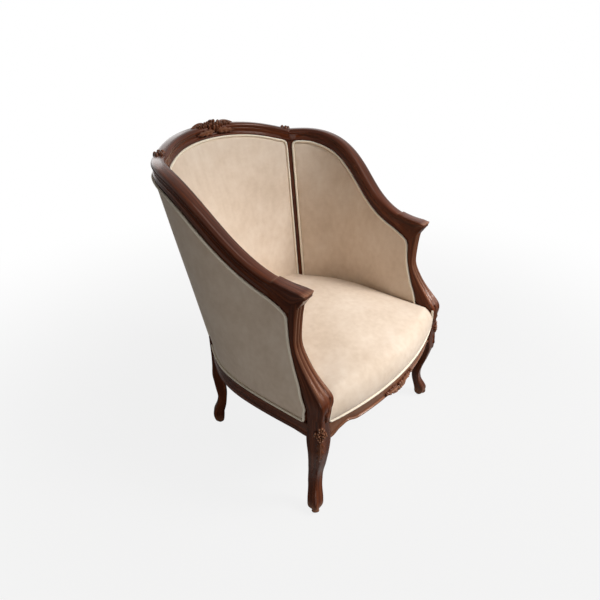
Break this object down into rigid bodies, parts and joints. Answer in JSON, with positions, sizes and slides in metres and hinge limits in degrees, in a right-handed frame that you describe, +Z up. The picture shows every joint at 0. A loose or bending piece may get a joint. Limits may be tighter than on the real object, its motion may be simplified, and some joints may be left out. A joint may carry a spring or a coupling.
{
  "type": "upholstered armchair",
  "caption": "Closed-arm bergere easy chair with a dark carved wooden show frame, cabriole legs, padded back and arm walls and a crowned tight seat, all edged with welts.",
  "frame": {"origin": "on the floor below the middle of the chair's bounding box", "axes": "+Z up, the chair faces -Y, +X to the viewer's right when facing the seat"},
  "size_m": [0.703, 0.722, 0.914],
  "materials": {
    "show_wood": "dark mahogany stain under satin lacquer",
    "frame_wood": "raw beech",
    "dowel_wood": "raw birch",
    "steel": "zinc plated",
    "webbing": "woven jute",
    "burlap": "plain-woven jute",
    "black_cloth": "non-woven cloth",
    "lining_cloth": "unbleached cotton",
    "foam": "open-cell upholstery foam",
    "suede": "matte suede-like nap",
    "welt_cord": "matte covered cord"
  },
  "bodies": {
    "root": {"crest_rail": "show_wood", "front_seat_rail": "show_wood", "rear_seat_rail": "show_wood", "lower_back_rail": "frame_wood", "seat_rail_dowels": "dowel_wood", "tack_rail_dowels": "dowel_wood", "crest_dowels": "dowel_wood", "stile_dowels": "dowel_wood", "arm_dowels": "dowel_wood", "arm_post_dowels": "dowel_wood", "corner_block_screws": "steel", "foot_glides": "steel", "seat_webbing_lengthwise": "webbing", "seat_webbing_crosswise": "webbing", "seat_burlap": "burlap", "dust_cover": "black_cloth", "back_lining": "lining_cloth", "seat_foam": "foam", "inside_back_foam": "foam", "seat_cover": "suede", "inside_back_cover": "suede", "outside_back_cover": "suede", "seat_welt": "welt_cord", "inside_back_welt": "welt_cord", "outside_back_welt": "welt_cord", "right_arm_rail": "show_wood", "left_arm_rail": "show_wood", "right_arm_post": "show_wood", "left_arm_post": "show_wood", "right_front_leg": "show_wood", "left_front_leg": "show_wood", "right_back_post": "show_wood", "left_back_post": "show_wood", "right_seat_rail": "show_wood", "left_seat_rail": "show_wood", "right_tack_rail": "frame_wood", "left_tack_rail": "frame_wood", "right_front_corner_block": "frame_wood", "left_front_corner_block": "frame_wood", "right_rear_corner_block": "frame_wood", "left_rear_corner_block": "frame_wood", "right_side_lining": "lining_cloth", "left_side_lining": "lining_cloth", "right_side_foam": "foam", "left_side_foam": "foam", "right_side_cover": "suede", "left_side_cover": "suede", "right_outside_cover": "suede", "left_outside_cover": "suede", "right_side_welt": "welt_cord", "left_side_welt": "welt_cord", "right_outside_welt": "welt_cord", "left_outside_welt": "welt_cord"}
  },
  "joints": []
}
